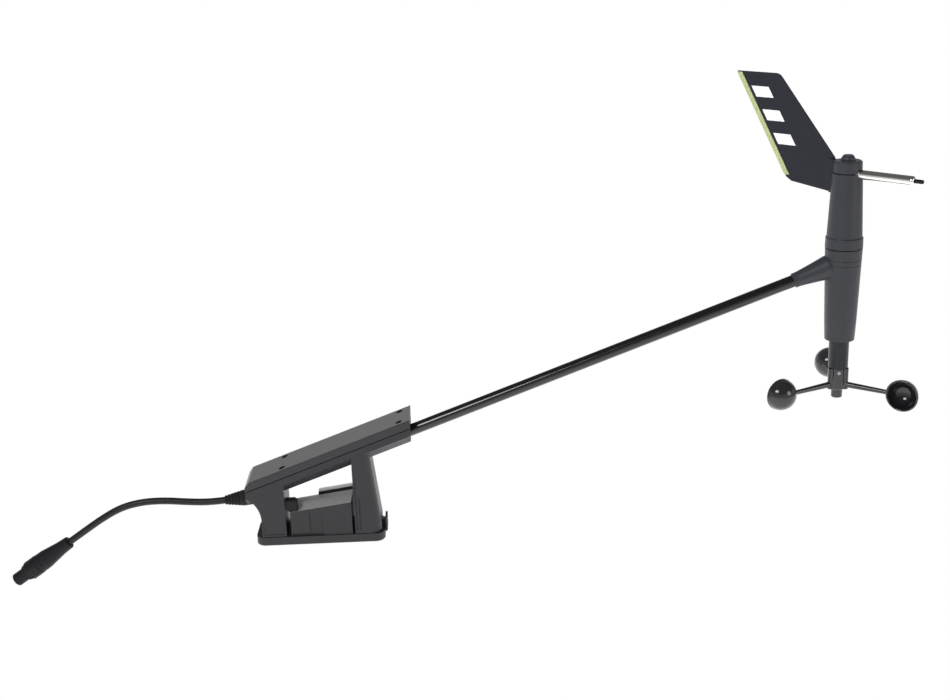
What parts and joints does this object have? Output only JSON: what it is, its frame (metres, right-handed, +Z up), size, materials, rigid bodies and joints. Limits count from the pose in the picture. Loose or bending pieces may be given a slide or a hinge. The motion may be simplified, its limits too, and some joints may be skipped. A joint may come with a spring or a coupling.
{
  "type": "cup anemometer",
  "caption": "Masthead wind sensor: vane on a barrel over a three-cup rotor, on a long sloping arm from a clip-down wedge housing and mast bracket.",
  "frame": {"origin": "centre of the bracket's mounting face, between its four screw holes", "axes": "+Z up, away from the mast top; +X along the arm towards the cups; the arm lies in the plane y = 0"},
  "size_m": [0.8015, 0.1278, 0.4281],
  "materials": {
    "bracket_plastic": "satin moulded",
    "housing_plastic": "satin moulded",
    "cover_plastic": "fine matt grain",
    "soft_rubber": "matt",
    "screw_steel": "plain",
    "circuit_board": "solder mask",
    "moulding_plastic": "satin",
    "arm_paint": "gloss",
    "wire_jacket": "plain",
    "barrel_plastic": "satin moulded",
    "polished_steel": "polished",
    "rod_tip_metal": "dark",
    "vane_plastic": "satin",
    "lime_reflective": "retroreflective film",
    "white_reflective": "retroreflective film",
    "magnet_metal": "plated",
    "bearing_steel": "ground",
    "cup_plastic": "high gloss",
    "cable_jacket": "satin",
    "ring_metal": "satin",
    "contact_brass": "plated"
  },
  "bodies": {
    "bracket": {"mast_bracket": "bracket_plastic", "rubber_stop": "soft_rubber"},
    "latch": {"release_latch": "bracket_plastic"},
    "sensor": {"sensor_housing": "housing_plastic", "top_cover": "cover_plastic", "cover_gasket": "soft_rubber", "cover_screws": "screw_steel", "circuit_board": "circuit_board", "arm_socket": "moulding_plastic", "arm_pin": "screw_steel", "arm_tube": "arm_paint", "arm_wires": "wire_jacket", "lower_barrel": "barrel_plastic", "head_board": "circuit_board", "vane_post": "polished_steel", "post_clip": "screw_steel", "vane_bearing_inner_rings": "bearing_steel", "vane_bearing_balls": "bearing_steel", "spindle_housing": "barrel_plastic", "cup_bearing_outer_rings": "bearing_steel", "strain_relief": "soft_rubber", "cable": "cable_jacket", "plug_body": "moulding_plastic", "plug_insert": "moulding_plastic", "plug_contacts": "contact_brass", "plug_seal": "soft_rubber"},
    "vane": {"upper_barrel": "barrel_plastic", "vane_cap": "barrel_plastic", "cap_knob": "barrel_plastic", "vane_blade": "vane_plastic", "vane_edge_strip": "lime_reflective", "vane_marks": "white_reflective", "counterweight_rod": "polished_steel", "rod_tip": "rod_tip_metal", "rod_screw": "screw_steel", "vane_magnet": "magnet_metal", "vane_bearing_outer_rings": "bearing_steel"},
    "cups": {"cup_shaft": "polished_steel", "shaft_clip": "screw_steel", "cup_magnet": "magnet_metal", "cup_hub": "cup_plastic", "hub_set_screw": "screw_steel", "cup_bearing_inner_rings": "bearing_steel", "cup_bearing_balls": "bearing_steel", "cup_arm_1": "cup_plastic", "cup_arm_2": "cup_plastic", "cup_arm_3": "cup_plastic", "cup_1": "cup_plastic", "cup_2": "cup_plastic", "cup_3": "cup_plastic"},
    "ring": {"coupling_ring": "ring_metal"}
  },
  "joints": [
    {"name": "lift_off", "type": "slide", "parent": "bracket", "child": "sensor", "axis": [0, 0, 1], "range_m": [0, 0.01]},
    {"name": "latch_release", "type": "hinge", "parent": "bracket", "child": "latch", "pos_m": [0.052, 0, 0.005], "axis": [0, 1, 0], "range_deg": [0, 20.5]},
    {"name": "vane_turn", "type": "hinge", "parent": "sensor", "child": "vane", "pos_m": [0.459, 0, 0.277], "axis": [0, 0, 1], "continuous": true},
    {"name": "cups_spin", "type": "hinge", "parent": "sensor", "child": "cups", "pos_m": [0.459, 0, 0.156], "axis": [0, 0, 1], "continuous": true},
    {"name": "ring_turn", "type": "hinge", "parent": "sensor", "child": "ring", "pos_m": [-0.26211, 0.00112, -0.02112], "axis": [-0.8202, 0.0265, -0.5715], "continuous": true}
  ],
  "couplings": [
    {"joint": "latch_release", "follows": "lift_off", "rad_per_m": 34.907}
  ]
}
